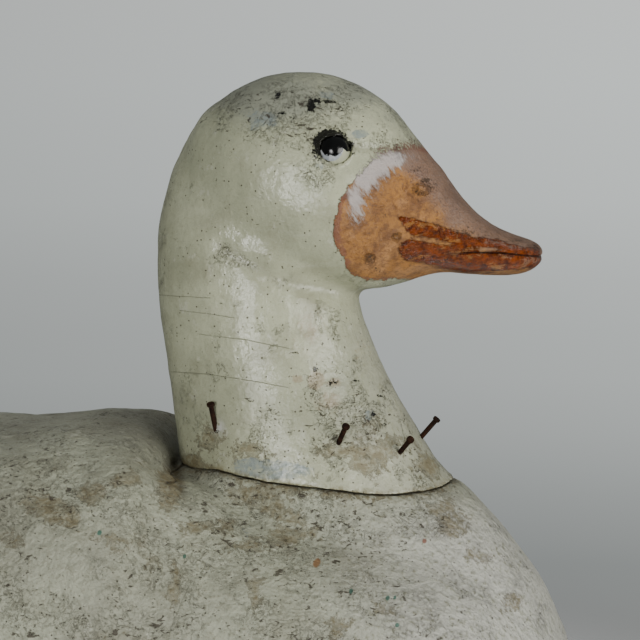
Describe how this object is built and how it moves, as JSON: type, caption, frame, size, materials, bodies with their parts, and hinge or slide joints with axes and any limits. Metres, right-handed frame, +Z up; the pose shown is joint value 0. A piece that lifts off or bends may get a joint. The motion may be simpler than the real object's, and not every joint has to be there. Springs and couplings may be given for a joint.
{
  "type": "motion wing decoy",
  "caption": "Carved and painted hollow wooden goose decoy with a nailed-on head and side wings on butt hinges, flapped together by levers inside the body.",
  "frame": {"origin": "centre of the bounding box at the underside of the base board", "axes": "+X from the tail towards the breast and bill, +Y towards the bird's left side, +Z up"},
  "size_m": [0.64, 0.2994, 0.3615],
  "materials": {
    "head_paint": "aged off-white oil paint over carved wood, worn salmon and red on the bill",
    "body_paint": "aged off-white oil paint, chipped and stained, over carved wood",
    "wing_paint": "aged off-white oil paint over carved boards",
    "base_wood": "weathered bare board",
    "dowel_wood": "bare turned dowel",
    "eye_bead": "black bead, half painted over",
    "rusty_nail": "brown rust",
    "rusty_screw": "brown rust",
    "hinge_steel": "dull, rust-freckled",
    "lever_steel": "dull, rust-freckled",
    "bush_steel": "dull",
    "fastener_steel": "dull, rust-freckled"
  },
  "bodies": {
    "decoy_body": {"upper_body": "body_paint", "lower_body": "body_paint", "base_board": "base_wood", "head_and_neck": "head_paint", "eye_right": "eye_bead", "eye_left": "eye_bead", "neck_dowel": "dowel_wood", "line_bush": "bush_steel", "neck_nail_1": "rusty_nail", "neck_nail_2": "rusty_nail", "neck_nail_3": "rusty_nail", "neck_nail_4": "rusty_nail", "neck_nail_5": "rusty_nail", "neck_nail_6": "rusty_nail", "base_screw_1": "rusty_screw", "base_screw_2": "rusty_screw", "base_screw_3": "rusty_screw", "base_screw_4": "rusty_screw", "base_screw_5": "rusty_screw", "base_screw_6": "rusty_screw", "hinge_right_1_body_leaf": "hinge_steel", "hinge_right_1_pin": "hinge_steel", "hinge_right_1_body_screw_1": "fastener_steel", "hinge_right_1_body_screw_2": "fastener_steel", "hinge_right_2_body_leaf": "hinge_steel", "hinge_right_2_pin": "hinge_steel", "hinge_right_2_body_screw_1": "fastener_steel", "hinge_right_2_body_screw_2": "fastener_steel", "hinge_left_1_body_leaf": "hinge_steel", "hinge_left_1_pin": "hinge_steel", "hinge_left_1_body_screw_1": "fastener_steel", "hinge_left_1_body_screw_2": "fastener_steel", "hinge_left_2_body_leaf": "hinge_steel", "hinge_left_2_pin": "hinge_steel", "hinge_left_2_body_screw_1": "fastener_steel", "hinge_left_2_body_screw_2": "fastener_steel"},
    "right_wing": {"wing_right": "wing_paint", "horn_right": "lever_steel", "horn_right_bolt_1": "fastener_steel", "horn_right_bolt_2": "fastener_steel", "hinge_right_1_wing_leaf": "hinge_steel", "hinge_right_1_wing_bolt_1": "fastener_steel", "hinge_right_1_wing_bolt_2": "fastener_steel", "hinge_right_2_wing_leaf": "hinge_steel", "hinge_right_2_wing_bolt_1": "fastener_steel", "hinge_right_2_wing_bolt_2": "fastener_steel"},
    "left_wing": {"wing_left": "wing_paint", "horn_left": "lever_steel", "horn_left_bolt_1": "fastener_steel", "horn_left_bolt_2": "fastener_steel", "hinge_left_1_wing_leaf": "hinge_steel", "hinge_left_1_wing_bolt_1": "fastener_steel", "hinge_left_1_wing_bolt_2": "fastener_steel", "hinge_left_2_wing_leaf": "hinge_steel", "hinge_left_2_wing_bolt_1": "fastener_steel", "hinge_left_2_wing_bolt_2": "fastener_steel"}
  },
  "joints": [
    {"name": "right_wing_flap", "type": "hinge", "parent": "decoy_body", "child": "right_wing", "pos_m": [0, -0.117, 0.15], "axis": [-1, 0, 0], "range_deg": [0, 75]},
    {"name": "left_wing_flap", "type": "hinge", "parent": "decoy_body", "child": "left_wing", "pos_m": [0, 0.117, 0.15], "axis": [1, 0, 0], "range_deg": [0, 75]}
  ],
  "couplings": [
    {"joint": "left_wing_flap", "follows": "right_wing_flap", "ratio": 1}
  ]
}
